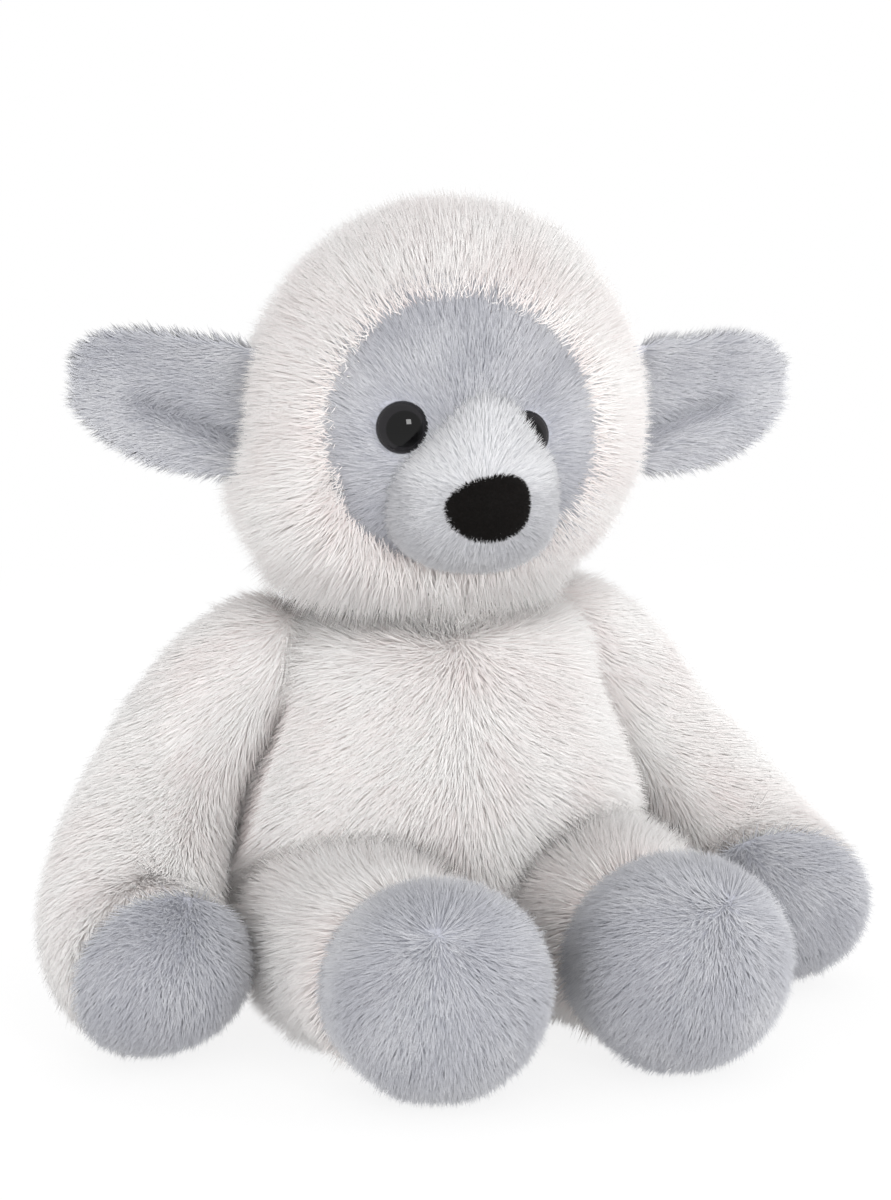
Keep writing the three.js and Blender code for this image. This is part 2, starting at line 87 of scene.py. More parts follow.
eye_places = {
    # side: aside, height, azimuth in degrees, depth in the face
    "left": (13.2, 51.9, 62, 4.6),
    "right": (-21.3, 53.4, -25, 2.4),
}
face_depth = 4  # how far the face lies under the hood's pile
ear = dict(length=54, half_height=22, lift=4, rise=52.5, aside=58, back=4)
ear_sweep = 22  # degrees
ear_shift = dict(left=2.2, right=-2.0)
ear_cup = (62, 16)  # degrees at the root and at the tip
ear_shares = [
    # along, top edge, bottom edge
    (0, 0.94, -0.92),
    (0.12, 0.99, -0.98),
    (0.3, 0.97, -1),
    (0.5, 0.98, -0.94),
    (0.68, 0.93, -0.8),
    (0.82, 0.8, -0.6),
    (0.93, 0.55, -0.35),
    (1, 0.16, -0.04),
]
tail = dict(half_width=9, front=9, back=13, up=11, down=15, top=2, bottom=2)
tail_centre = (0, 47, 34)
arm_plane = dict(aside=58, height=60, lean=22)
shoulder = (45, 18, 104)
arm_span = (53, -48, -77)
arm_radius = 27.5
arm_shares = [
    # aside, forward, drop, radius
    (-0.16, 0.04, -0.22, 0.72),
    (0, 0, -0.03, 0.76),
    (0.28, -0.04, 0.11, 0.78),
    (0.61, -0.03, 0.37, 0.81),
    (0.91, 0.24, 0.68, 0.92),
    (1.06, 0.56, 0.91, 1),
    (1, 1, 1, 1),
    (0.88, 1.5, 1.02, 0.94),
]
wrist_share = 0.85
hip = dict(aside=37, forward=18)
leg_span = dict(forward=77, toe_in=0.5)
leg_radius = 31.5
leg_shares = [
    # forward, radius
    (-0.36, 0.89),
    (0, 0.89),
    (0.3, 0.89),
    (0.56, 0.89),
    (0.74, 0.89),
    (1, 1),
    (1.4, 0.94),
]
ankle_share = 0.6
leg_up = 6  # degrees
leg_down = -70
floor_flat = 0.5  # how much of a round form the floor presses flat

# Skins lie this far inside the tips of their pile
fleece_inset = 4.8
plush_inset = 3.2
velour_inset = 2.4
floor_clearance = 0.4
contact_gap = 0.6  # from the plane between an arm and the body to each skin
leg_press = 5.0  # how deep the belly rests on the legs

pile_lengths = dict(
    hood=9.8, face=5.0, muzzle=3.6, nose=0.9, ear=5.2, neck=6.5,
    body=9.5, tail=8.5, arm=9.0, leg=8.5, end=5.6,  # end: hands and feet
)
pressed_pile = 5  # how much shorter pile stands between an arm and the body


# Curves

def steps_along(points, share):
    """The number of the point before each share of a curve, and the way from there to the next."""
    last = len(points) - 1
    place = np.clip(np.asarray(share, float), 0, 1) * last
    start = np.minimum(place.astype(int), last - 1)
    return start, (place - start)[..., None]


def cubic(here, then, rise_here, rise_then, t):
    """The curve from one point to the next that has the given rises there."""
    bend = 2 * here - 2 * then + rise_here + rise_then
    tilt = -3 * here + 3 * then - 2 * rise_here - rise_then
    return ((bend * t + tilt) * t + rise_here) * t + here


def spline(points, share):
    """A point of the smooth curve through points, each as far from the next along the share."""
    points = np.asarray(points, float)
    start, t = steps_along(points, share)
    padded = np.vstack([points[0], points, points[-1]])
    before, here, then, after = (padded[start + i] for i in range(4))
    return cubic(here, then, (then - before) / 2, (after - here) / 2, t)


def centred_spline(points, share):
    """The same for a line in space whose points lie at uneven steps."""
    points = np.asarray(points, float)
    start, t = steps_along(points, share)
    padded = np.vstack([2 * points[0] - points[1], points, 2 * points[-1] - points[-2]])
    steps = np.linalg.norm(np.diff(padded, axis=0), axis=1)[:, None] ** 0.5
    before, here, then, after = (padded[start + i] for i in range(4))
    step_before, step, step_after = (steps[start + i] for i in range(3))
    rise_here = (here - before) / step_before - (then - before) / (step_before + step) + (then - here) / step
    rise_then = (then - here) / step - (after - here) / (step + step_after) + (after - then) / step_after
    return cubic(here, then, rise_here * step, rise_then * step, t)


def unit(vectors):
    length = np.linalg.norm(vectors, axis=-1, keepdims=True)
    return vectors / np.maximum(length, 1e-9)


def ease(value, low, high):
    """0 below low, 1 above high and smooth between."""
    t = np.clip((value - low) / (high - low), 0, 1)
    return t * t * (3 - 2 * t)


def hump(value, foot, top, brow, end):
    """0 up to the foot, 1 from top to brow, 0 past the end and smooth between."""
    return ease(value, foot, top) * (1 - ease(value, brow, end))


# Forms

def stuffed(ways, size, centre, inset):
    """Where each way from the centre leaves a stuffed form. Its inset may differ from way to way."""
    mix = ease(ways[..., 2], -0.5, 0.5)
    power = size["bottom"] + (size["top"] - size["bottom"]) * mix
    deep = np.where(ways[..., 1] < 0, size["front"], size["back"]) - inset
    tall = np.where(ways[..., 2] < 0, size["down"], size["up"]) - inset
    wide = size["half_width"] - inset
    total = np.abs(ways[..., 0] / wide) ** power
    total = total + np.abs(ways[..., 1] / deep) ** power + np.abs(ways[..., 2] / tall) ** power
    return ways * (total ** (-1 / power))[..., None] + np.asarray(centre, float)


def even_ends(rows):
    """Shares from 0 to 1, closer together towards both ends."""
    return (1 - np.cos(np.pi * np.linspace(0, 1, rows + 1))) / 2


def ways_round(axis, around, rows, reach=1.0):
    """Directions in rings from one pole to the other, the first pole on the axis."""
    turn = Vector((0, 0, 1)).rotation_difference(Vector(axis)).to_matrix()
    polar = np.linspace(0, pi * reach, rows + 1)[:, None]
    azimuth = np.linspace(0, 2 * pi, around, endpoint=False)[None, :]
    ring = np.sin(polar)
    ways = np.stack([ring * np.cos(azimuth), ring * np.sin(azimuth), np.cos(polar) + 0 * azimuth], -1)
    return ways @ np.array(turn).T


plane_lean = radians(arm_plane["lean"])
lean_way = np.array([cos(plane_lean), 0, sin(plane_lean)])
plane_point = np.array([arm_plane["aside"], 0, arm_plane["height"]])


def limb_rings(middle, radii, inset, first, last, swell, slim, spread, around=72, rows=56):
    """Rings of a limb between two shares of its middle line, drawn in to close at each end."""
    line = centred_spline(middle, np.linspace(0, 1, 400))
    length = np.linalg.norm(np.diff(line, axis=0), axis=1).sum()
    trim = inset / length
    low = max(first, trim)
    high = min(last, 1 - trim)
    share = low + even_ends(rows) * (high - low)
    centre = centred_spline(middle, share)
    nudge = 1e-4
    ahead = unit(centred_spline(middle, share + nudge) - centred_spline(middle, share - nudge))
    across = unit(np.array([1.0, 0, 1.0]))
    up = unit(np.cross(ahead, across))
    side = np.cross(up, ahead)
    radius = spline(np.asarray(radii, float)[:, None], share)[:, 0] - inset
    for end, end_radius in ((trim, radii[0]), (1 - trim, radii[-1])):
        from_end = np.linalg.norm(centre - centred_spline(middle, end), axis=1)
        along = np.minimum(from_end / (end_radius - inset), 1)
        radius = radius * np.sqrt(1 - (1 - along) ** 2)
    seam_pull = 5.0
    for place, is_seam in ((low, first > 0), (high, last < 1)):
        if is_seam:
            along = np.clip(np.abs(share - place) * length / seam_pull, 0, 1)
            radius = radius * np.sqrt(along * (2 - along))
    azimuth = np.linspace(0, 2 * pi, around, endpoint=False)
    ring = side[:, None] * np.cos(azimuth)[None, :, None] + up[:, None] * np.sin(azimuth)[None, :, None]
    inward = np.clip(-(ring @ lean_way), 0, 1) * hump(share, 0.15, 0.4, 0.65, 0.85)[:, None]
    outward = np.clip(ring @ lean_way, 0, 1) * hump(share, 0.25, 0.5, 0.7, 0.82)[:, None]
    wide = (spread * ease(share, 0.75, 0.95))[:, None, None] * (1, 0, -0.7)
    reach = radius[:, None, None] + (swell * inward - slim * outward)[..., None]
    return centre[:, None] + (1 + wide) * ring * reach, ahead


def pressed_by_plane(points, outside):
    """Moves points to their side of the plane in which the left arm meets the body."""
    height = (points - plane_point) @ lean_way
    if outside:
        return points + np.maximum(contact_gap - height, 0)[..., None] * lean_way
    return points - np.maximum(height + contact_gap, 0)[..., None] * lean_way


mirror = np.array([-1.0, 1, 1])


def pressed_share(height, points):
    """Where an arm and the body flatten each other's pile, and where it is tinted darker as painted shade: at
    the plane between them, below the shoulder.
    """
    return ease(height, -1.3, -0.7) * (1 - ease(points[:, 2], 92, 100))


def body_points(inset, around, rows):
    """Rings of the body from the seat to the neck, fuller at the flanks."""
    heights, widths, fronts, backs = spline(body_shares, even_ends(rows)).T
    seat = 2.6
    top = body["height"] - inset
    azimuth = np.linspace(0, 2 * pi, around, endpoint=False)
    power = 2 / body["fullness"]
    aside = np.sign(np.cos(azimuth)) * np.abs(np.cos(azimuth)) ** power
    deep = np.sign(np.sin(azimuth)) * np.abs(np.sin(azimuth)) ** power
    front = fronts[:, None] * (body["front"] - inset)
    back = backs[:, None] * (body["back"] - inset)
    width = widths[:, None] * (body["half_width"] - inset)
    height = (seat + heights * (top - seat))[:, None] + 0 * aside[None]
    flank_swell = 5.0
    flank = flank_swell * hump(height, 8, 30, 50, 75)
    depth = np.where(deep[None] < 0, front, back)
    points = np.stack([aside[None] * (width + flank), deep[None] * depth, height], -1)
    points[0, :, :2] = 0
    return points


def in_leg_room(points, gap):
    """Whether points lie in the space that the legs sweep from hanging to lifted."""
    radius = leg_radius * leg_shares[0][1] + gap
    flat = points[..., 1:] - (-hip["forward"], leg_radius * leg_shares[0][1] - floor_flat)
    over = []
    ahead = []
    for angle in (radians(leg_up), radians(leg_down)):
        over.append(flat @ (sin(angle), cos(angle)))
        ahead.append(flat @ (-cos(angle), sin(angle)))
    round_hip = np.linalg.norm(flat, axis=-1) < radius
    between = (over[0] < radius) & (over[1] > -radius) & ((ahead[0] > 0) | (ahead[1] > 0))
    near = np.abs(np.abs(points[..., 0]) - hip["aside"]) < radius
    return (round_hip | between) & near


def pushed_out_of(points, inside, centre):
    """Draws points that lie in a forbidden space straight towards a centre until they leave it."""
    centre = np.asarray(centre, float)
    low = np.zeros(points.shape[:-1])
    high = np.ones(points.shape[:-1])
    caught = inside(points)
    for _ in range(24):
        middle = (low + high) / 2
        hit = inside(centre + (points - centre) * middle[..., None])
        high = np.where(hit, middle, high)
        low = np.where(hit, low, middle)
    drawn = centre + (points - centre) * low[..., None]
    return np.where(caught[..., None], drawn, points)


def rounded(rings, rounds):
    """Eases rings towards their neighbours, as stuffing rounds a sewn edge. The ends stay."""
    for _ in range(rounds):
        beside = (np.roll(rings, 1, axis=1) + np.roll(rings, -1, axis=1)) / 2
        above = (rings[:-2] + rings[2:]) / 2
        rings = rings.copy()
        rings[1:-1] = (2 * rings[1:-1] + beside[1:-1] + above) / 4
    return rings


# Meshes

def new_object(name, mesh):
    piece = bpy.data.objects.new(name, mesh)
    scene.collection.objects.link(piece)
    return piece


def closed_skin(name, rings):
    """A closed mesh and its points, from rings in millimetres whose first and last are a point each."""
    rows, around = rings.shape[:2]
    inner = rings[1:-1].reshape(-1, 3)
    points = np.vstack([inner, rings[0].mean(0), rings[-1].mean(0)])
    south = len(inner)
    north = south + 1
    last = (rows - 3) * around
    faces = []
    for start in range(0, last, around):
        for i in range(around):
            k = (i + 1) % around
            faces.append((start + i, start + k, start + around + k, start + around + i))
    for i in range(around):
        k = (i + 1) % around
        faces.append((south, k, i))
        faces.append((last + i, last + k, north))
    mesh = bpy.data.meshes.new(name)
    mesh.from_pydata((points * MM).tolist(), [], faces)
    shaped = bmesh.new()
    shaped.from_mesh(mesh)
    bmesh.ops.recalc_face_normals(shaped, faces=shaped.faces)
    shaped.to_mesh(mesh)
    shaped.free()
    mesh.shade_smooth()
    return new_object(name, mesh), points_of(mesh)


def stored(items, key, kind=float, width=3):
    """What each item of a mesh holds under a key, in rows if that is wider than one number."""
    flat = np.empty(len(items) * width, kind)
    items.foreach_get(key, flat)
    return flat.reshape(-1, width) if width > 1 else flat


def points_of(mesh):
    return stored(mesh.vertices, "co") / MM


def normals_of(mesh):
    return stored(mesh.vertex_normals, "vector")


def put_points(mesh, points):
    mesh.vertices.foreach_set("co", (points * MM).astype(np.float32).ravel())
    mesh.update()


def put_attribute(mesh, name, values, kind="FLOAT"):
    layer = mesh.attributes.get(name) or mesh.attributes.new(name, kind, "POINT")
    key = "vector" if kind == "FLOAT_VECTOR" else "value"
    layer.data.foreach_set(key, np.asarray(values, np.float32).ravel())


def vectors_of(mesh, name):
    return stored(mesh.attributes[name].data, "vector", np.float32)


def placed(skin, matrix):
    """Moves a groomed mesh itself, in metres, so that the object stays at the origin."""
    skin.data.transform(matrix)
    spin = np.array(matrix.to_3x3())
    for key in ("comb", "nap"):
        put_attribute(skin.data, key, vectors_of(skin.data, key) @ spin.T, "FLOAT_VECTOR")


def mirrored(piece):
    """The right twin of a left piece."""
    twin = new_object(piece.name.replace("left", "right"), piece.data.copy())
    placed(twin, Matrix.Diagonal((-1, 1, 1, 1)))
    twin.data.flip_normals()
    return twin


toy_place = Matrix.Translation((0, -seat_back * MM, 0))
head_place = toy_place @ Matrix.Translation((0, 0, neck_height * MM)) @ Euler(
    (0, radians(head_tilt), radians(head_turn)), "ZYX"
).to_matrix().to_4x4()


# Graphs of nodes, for materials and for pile alike

def joining(operation, swapped=False):
    """A method that joins a wire and another value, by Vector Math if either is a vector."""
    def method(self, other):
        pair = (other, self) if swapped else (self, other)
        vectors = any(isinstance(value, Wire) and value.is_vector for value in pair)
        kind = "ShaderNodeVectorMath" if vectors else "ShaderNodeMath"
        return self.graph.node(kind, {"operation": operation}, dict(enumerate(pair)))
    return method


class Wire:
    """A socket that gives a value, usable in sums."""

    __add__ = joining("ADD")
    __radd__ = joining("ADD", swapped=True)
    __sub__ = joining("SUBTRACT")
    __mul__ = joining("MULTIPLY")
    __rtruediv__ = joining("DIVIDE", swapped=True)

    def __init__(self, graph, socket):
        self.graph = graph
        self.socket = socket
        self.is_vector = socket.type in ("VECTOR", "RGBA")

    def scaled(self, factor):
        return self.graph.node("ShaderNodeVectorMath", {"operation": "SCALE"}, {0: self, "Scale": factor})

    def normal(self):
        return self.graph.node("ShaderNodeVectorMath", {"operation": "NORMALIZE"}, {0: self})


class Graph:
    """A node tree that is filled one node at a time."""

    def __init__(self, tree):
        self.tree = tree

    def node(self, kind, settings=None, values=None, output=0):
        made = self.tree.nodes.new(kind)
        for key, value in (settings or {}).items():
            if key == "stops":
                for element, (place, colour) in zip(made.color_ramp.elements, value):
                    element.position = place
                    element.color = colour
            else:
                setattr(made, key, value)
        for key, value in (values or {}).items():
            socket = made.inputs[key]
            if isinstance(value, Wire):
                self.tree.links.new(value.socket, socket)
            elif value is not None:
                socket.default_value = value
        if output is None:
            return made
        return Wire(self, made.outputs[output])


def screen(colour):
    """A colour as a screen shows it, turned into the light that it stands for."""
    light = (c / 12.92 if c <= 0.04045 else ((c + 0.055) / 1.055) ** 2.4 for c in colour)
    return (*light, 1.0)


def new_material(name, constants):
    material = bpy.data.materials.new(name)
    material.use_nodes = True
    material.node_tree.nodes.clear()
    graph = Graph(material.node_tree)
    shader = graph.node("ShaderNodeBsdfPrincipled", values=constants, output=None)
    graph.node("ShaderNodeOutputMaterial", values={"Surface": Wire(graph, shader.outputs[0])}, output=None)
    return material, graph, shader


def coloured(graph, shader, share, first, second):
    """Takes the shader's colour from first to second as the share goes from 0 to 1."""
    colours = {"Factor": share, "A": first, "B": second}
    mixed = graph.node("ShaderNodeMix", {"data_type": "RGBA", "clamp_factor": True}, colours, output=2)
    graph.tree.links.new(mixed.socket, shader.inputs["Base Color"])


nap_share = 0.86  # how far a strand's shading follows the cloth under it
pile_map = "OFBake"
reach_band = 0.06  # how much of the map's height a strand takes from root to tip


def pile_material(name, sheen, roots, tips):
    """Pile coloured from root to tip, each of them given for the darkest strand and the palest."""
    material, graph, shader = new_material(name, {
        "Roughness": 0.9,
        "Specular IOR Level": 0.2,
        "Sheen Weight": sheen,
        "Sheen Roughness": 0.5,
    })
    uv = graph.node("ShaderNodeUVMap", {"uv_map": pile_map})
    parts = graph.node("ShaderNodeSeparateXYZ", values={0: uv}, output=None)
    tint = Wire(graph, parts.outputs[0])
    reach = Wire(graph, parts.outputs[1]) * (1 / reach_band)
    colours = [
        graph.node("ShaderNodeValToRGB", {"stops": list(enumerate(map(screen, shades)))}, {"Fac": tint})
        for shades in (roots, tips)
    ]
    coloured(graph, shader, reach, *colours)
    return material


def cloth_material(name, grain, roughness, depth, *colours):
    """Backing cloth: two colours in soft patches, with a fine knit in relief."""
    material, graph, shader = new_material(name, {"Roughness": roughness, "Specular IOR Level": 0.2})
    where = graph.node("ShaderNodeTexCoord", output="Object")
    patches = graph.node("ShaderNodeTexNoise", values={"Vector": where, "Scale": grain / 8, "Detail": 3})
    coloured(graph, shader, patches, *map(screen, colours))
    knit = graph.node("ShaderNodeTexNoise", values={"Vector": where, "Scale": grain, "Detail": 2})
    bump = graph.node("ShaderNodeBump", values={"Height": knit, "Distance": depth, "Strength": 0.6})
    graph.tree.links.new(bump.socket, shader.inputs["Normal"])
    return material


def plastic_material():
    material, graph, shader = new_material("washer_plastic", {"Roughness": 0.4})
    where = graph.node("ShaderNodeTexCoord", output="Object")
    flow = graph.node("ShaderNodeTexNoise", values={"Vector": where, "Scale": 120})
    coloured(graph, shader, flow, screen((0.86, 0.87, 0.88)), screen((0.9, 0.91, 0.92)))
    return material


def eye_material():
    """Polished black with a dark grey iris, whose place each eye's mesh stores."""
    material, graph, shader = new_material("eye_gloss", {"Roughness": 0.02, "Specular IOR Level": 0.26})
    iris = graph.node("ShaderNodeAttribute", {"attribute_name": "iris"}, output="Fac")
    coloured(graph, shader, iris, screen((0.012, 0.012, 0.014)), screen((0.1, 0.095, 0.105)))
    return material


pile_colours = {
    # name: sheen, roots, tips
    "white_pile": (
        0.3, [(0.94, 0.885, 0.875), (0.98, 0.965, 0.955)], [(0.975, 0.957, 0.95), (0.998, 0.995, 0.99)],
    ),
    "grey_pile": (0.3, [(0.62, 0.625, 0.66), (0.74, 0.745, 0.77)], [(0.78, 0.785, 0.81), (0.91, 0.91, 0.92)]),
    "pale_pile": (
        0.3, [(0.65, 0.655, 0.675), (0.82, 0.825, 0.84)], [(0.79, 0.79, 0.805), (0.96, 0.96, 0.965)],
    ),
    "black_pile": (
        0.02, [(0.03, 0.025, 0.022), (0.05, 0.04, 0.035)], [(0.05, 0.04, 0.035), (0.11, 0.09, 0.08)],
    ),
}
cloth_colours = {
    # name: grain, roughness, relief in metres, two colours
    "white_cloth": (900, 0.95, 0.0003, (0.95, 0.92, 0.91), (0.98, 0.965, 0.955)),
    "grey_cloth": (900, 0.95, 0.0003, (0.66, 0.665, 0.70), (0.76, 0.765, 0.80)),
    "pale_cloth": (900, 0.95, 0.0003, (0.80, 0.805, 0.82), (0.87, 0.875, 0.89)),
    "nose_velour": (1500, 0.8, 0.0003, (0.03, 0.025, 0.022), (0.06, 0.05, 0.045)),
    "filling": (300, 1.0, 0.001, (0.94, 0.94, 0.93), (0.98, 0.98, 0.97)),
    "calico": (1200, 0.9, 0.0002, (0.84, 0.81, 0.75), (0.89, 0.86, 0.81)),
}
finishes = {name: pile_material(name, *row) for name, row in pile_colours.items()}
finishes |= {name: cloth_material(name, *row) for name, row in cloth_colours.items()}
finishes["plastic"] = plastic_material()
finishes["eye"] = eye_material()


# Pile

# One strand on +Z, a unit long and a unit wide: a spike of three sides
strand_mesh = bpy.data.meshes.new("strand")
corners = [2 * pi * i / 3 + pi for i in range(3)]
strand_points = [*((0.5 * cos(corner), 0.5 * sin(corner), 0) for corner in corners), (0, 0, 1)]
strand_mesh.from_pydata(strand_points, [], [(0, 2, 1), (0, 1, 3), (1, 2, 3), (2, 0, 3)])
put_attribute(strand_mesh, "reach", [0, 0, 0, 1])
put_attribute(strand_mesh, "side", [-1, 0, 1, 0])
strand = new_object("strand", strand_mesh)

pile_numbers = {
    "Density": 1e6,
    "Width": 0.0005, "Width Spread": 0.25,
    "Length Spread": 0.2,
    "Lean": 0.7, "Lean Spread": 0.15,
    "Jitter": 0.25,
    "Clump Size": 0.003, "Clump Pull": 0.5,
    "Wave Size": 0.02, "Wave Pull": 0.4,
    "Patch Size": 0.02,
    "Floor": floor_clearance * MM,
}
pile_things = {"Skin": "Geometry", "Strand": "Object", "Seed": "Int", "Finish": "Material"}


def pile_tree():
    """Strands over a skin, combed by its attributes comb, pile_length and pile_density."""
    tree = bpy.data.node_groups.new("pile", "GeometryNodeTree")
    for name, kind in pile_things.items():
        tree.interface.new_socket(name, in_out="INPUT", socket_type=f"NodeSocket{kind}")
    for name, start in pile_numbers.items():
        socket = tree.interface.new_socket(name, in_out="INPUT", socket_type="NodeSocketFloat")
        socket.default_value = start
    tree.interface.new_socket("Pile", in_out="OUTPUT", socket_type="NodeSocketGeometry")
    g = Graph(tree)
    inputs = g.node("NodeGroupInput", output=None)
    take = {name: Wire(g, inputs.outputs[name]) for name in (*pile_things, *pile_numbers)}

    def named(name, kind="FLOAT"):
        return g.node("GeometryNodeInputNamedAttribute", {"data_type": kind}, {"Name": name})

    def chance(low, high, seed):
        limits = {2: low, 3: high, "Seed": take["Seed"] + seed}
        return g.node("FunctionNodeRandomValue", {"data_type": "FLOAT"}, limits, output=1)

    place = g.node("GeometryNodeInputPosition")
    points = g.node(
        "GeometryNodeDistributePointsOnFaces",
        {"distribute_method": "RANDOM"},
        {"Mesh": take["Skin"], "Density": named("pile_density") * take["Density"], "Seed": take["Seed"]},
    )
    nap = named("nap", "FLOAT_VECTOR").normal()
    comb = named("comb", "FLOAT_VECTOR")
    waves = {"Vector": place, "Scale": 1 / take["Wave Size"], "Detail": 1.0}
    wave = g.node("ShaderNodeTexNoise", values=waves, output="Color")
    wave_way = (wave - (0.5, 0.5, 0.5)).scaled(take["Wave Pull"] * 2)
    clump_scale = 1 / take["Clump Size"]
    clumps = {"Vector": place, "Scale": clump_scale}
    cell = g.node("ShaderNodeTexVoronoi", {"feature": "F1"}, clumps, output="Position")
    gather = (cell - place).scaled(take["Clump Pull"] * clump_scale)
    limits = {0: (-1, -1, -1), 1: (1, 1, 1), "Seed": take["Seed"] + 3}
    jitter = g.node("FunctionNodeRandomValue", {"data_type": "FLOAT_VECTOR"}, limits)
    along = comb + wave_way + jitter.scaled(take["Jitter"]) + gather
    dot = g.node("ShaderNodeVectorMath", {"operation": "DOT_PRODUCT"}, {0: along, 1: nap}, output="Value")
    flat = along - nap.scaled(dot)
    lean = take["Lean"] + take["Lean Spread"] * chance(-1.0, 1.0, 5)
    sine = g.node("ShaderNodeMath", {"operation": "SINE"}, {0: lean})
    cosine = g.node("ShaderNodeMath", {"operation": "COSINE"}, {0: lean})
    way = (nap.scaled(cosine) + flat.scaled(sine)).normal()
    axes = {"Primary Axis": way, "Secondary Axis": flat - nap}
    turn = g.node("FunctionNodeAxesToRotation", {"primary_axis": "Z", "secondary_axis": "X"}, axes)
    length = named("pile_length") * (1 + take["Length Spread"] * chance(-1.0, 1.0, 7))
    width = take["Width"] * (1 + take["Width Spread"] * chance(-1.0, 1.0, 9))
    scale = g.node("ShaderNodeCombineXYZ", values={0: width, 1: width, 2: length})
    patches = {"Vector": place, "Scale": 1 / take["Patch Size"], "Detail": 2.0}
    shade = g.node("ShaderNodeTexNoise", values=patches) + chance(-0.18, 0.18, 11)
    shade = shade + (named("pile_tint") - 0.5)
    tints = {"Value": shade, "From Min": 0.25, "From Max": 0.75, "To Min": 0.02, "To Max": 0.98}
    tint = g.node("ShaderNodeMapRange", {"clamp": True}, tints)
    for name, kind, value in (("tint", "FLOAT", tint), ("nap_way", "FLOAT_VECTOR", nap)):
        kept = {"Geometry": points, "Name": name, "Value": value}
        settings = {"data_type": kind, "domain": "POINT"}
        points = g.node("GeometryNodeStoreNamedAttribute", settings, kept)
    model = g.node("GeometryNodeObjectInfo", values={0: take["Strand"]}, output="Geometry")
    plants = {"Points": points, "Instance": model, "Rotation": turn, "Scale": scale}
    planted = g.node("GeometryNodeInstanceOnPoints", values=plants)
    real = g.node("GeometryNodeRealizeInstances", values={"Geometry": planted})
    spot = g.node("ShaderNodeSeparateXYZ", values={0: place}, output=None)
    aside, deep, high = (Wire(g, socket) for socket in spot.outputs)
    height = g.node("ShaderNodeMath", {"operation": "MAXIMUM"}, {0: high, 1: take["Floor"]})
    above = g.node("ShaderNodeCombineXYZ", values={0: aside, 1: deep, 2: height})
    grounded = g.node("GeometryNodeSetPosition", values={"Geometry": real, "Position": above})
    finished = g.node("GeometryNodeSetMaterial", values={"Geometry": grounded, "Material": take["Finish"]})
    g.node("NodeGroupOutput", values={0: finished}, output=None)
    return tree


pile = pile_tree()


def groomed(skin, place, comb, length, density, tint=0.5, hold=1.0):
    """Stores how a skin's pile lies and moves it to its place. The less the hold, the more it stands up."""
    count = len(skin.data.vertices)
    normals = normals_of(skin.data)
    flat = comb - normals * (comb * normals).sum(-1, keepdims=True)
    put_attribute(skin.data, "comb", unit(flat) * np.broadcast_to(hold, count)[:, None], "FLOAT_VECTOR")
    put_attribute(skin.data, "nap", normals, "FLOAT_VECTOR")
    for key, values in (("length", length * MM), ("density", density), ("tint", tint)):
        put_attribute(skin.data, f"pile_{key}", np.broadcast_to(values, count))
    placed(skin, place)


def grown(name, skin, finish, seed, layers):
    """Grows each layer of pile on a skin, as an object of its own."""
    pieces = []
    for number, layer in enumerate(layers):
        bearer = skin.copy()
        scene.collection.objects.link(bearer)
        growth = bearer.modifiers.new("pile", "NODES")
        growth.node_group = pile
        settings = dict(layer, Strand=strand, Seed=seed + 100 * number, Finish=finishes[finish])
        for socket in pile.interface.items_tree:
            if socket.in_out == "INPUT" and socket.name in settings:
                growth[socket.identifier] = settings[socket.name]
        seen = bpy.context.evaluated_depsgraph_get()
        mesh = bpy.data.meshes.new_from_object(bearer.evaluated_get(seen), depsgraph=seen)
        bpy.data.objects.remove(bearer)
        pieces.append(finished_pile(f"{name}_{number}", mesh))
    return pieces


def finished_pile(name, mesh):
    """Gives grown pile its map from root to tip, and normals that follow the nap of the cloth."""
    numbers = ("tint", "reach", "side")
    tint, reach, side = (stored(mesh.attributes[key].data, "value", np.float32, 1) for key in numbers)
    corner = stored(mesh.loops, "vertex_index", np.int32, 1)
    map_step = 0.0015
    u = np.clip(tint, 0.01, 0.99) + map_step * side
    v = 0.002 + reach * (reach_band - 0.004) + 0.001 * (side == 0)
    uv = mesh.uv_layers.new(name=pile_map)
    uv.data.foreach_set("uv", np.stack([u, v], -1)[corner].astype(np.float32).ravel())
    soft = unit(vectors_of(mesh, "nap_way") * nap_share + normals_of(mesh) * (1 - nap_share))
    mesh.shade_smooth()
    mesh.normals_split_custom_set_from_vertices(soft.tolist())
    for key in (*numbers, "nap_way"):
        mesh.attributes.remove(mesh.attributes[key])
    mesh.name = name
    return new_object(name, mesh)


white_layers = [
    {"Density": 2.08e6, "Width": 0.00045, "Lean": 0.95, "Clump Pull": 0.1, "Wave Pull": 0.3},
    {"Density": 0.4e6, "Width": 0.00034, "Lean": 0.85, "Clump Pull": 0.15, "Wave Pull": 0.4},
]
# The widest skins grow their under-layer as two pieces, so that neither is too big
half_under = dict(white_layers[0], Density=white_layers[0]["Density"] / 2)
wide_white_layers = [half_under, half_under, white_layers[1]]
grey_layers = [
    {"Density": 3.0e6, "Width": 0.00038, "Lean": 0.95, "Clump Pull": 0.3, "Jitter": 0.35},
    {"Density": 0.4e6, "Width": 0.0003, "Lean": 0.9, "Clump Pull": 0.4, "Jitter": 0.4},
]
face_layers = [
    {"Density": 3.8e6, "Width": 0.00036, "Lean": 1.05, "Clump Pull": 0.25, "Clump Size": 0.002},
    {"Density": 0.4e6, "Width": 0.0003, "Lean": 0.95, "Clump Pull": 0.3, "Jitter": 0.3},
]

furs = {
    # slot, cloth, pile
    "white": ("white_fur", "white_cloth", "white_pile"),
    "grey": ("grey_fur", "grey_cloth", "grey_pile"),
    "pale": ("pale_grey_fur", "pale_cloth", "pale_pile"),
    "black": ("nose_pile", "nose_velour", "black_pile"),
    "neck": ("filling", "white_cloth", "white_pile"),
}


def stand_in(piece, body_name, nodes):
    """Rides a piece on a body in place of the CAD nodes it shows."""
    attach(piece, body_name)
    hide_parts(*nodes)


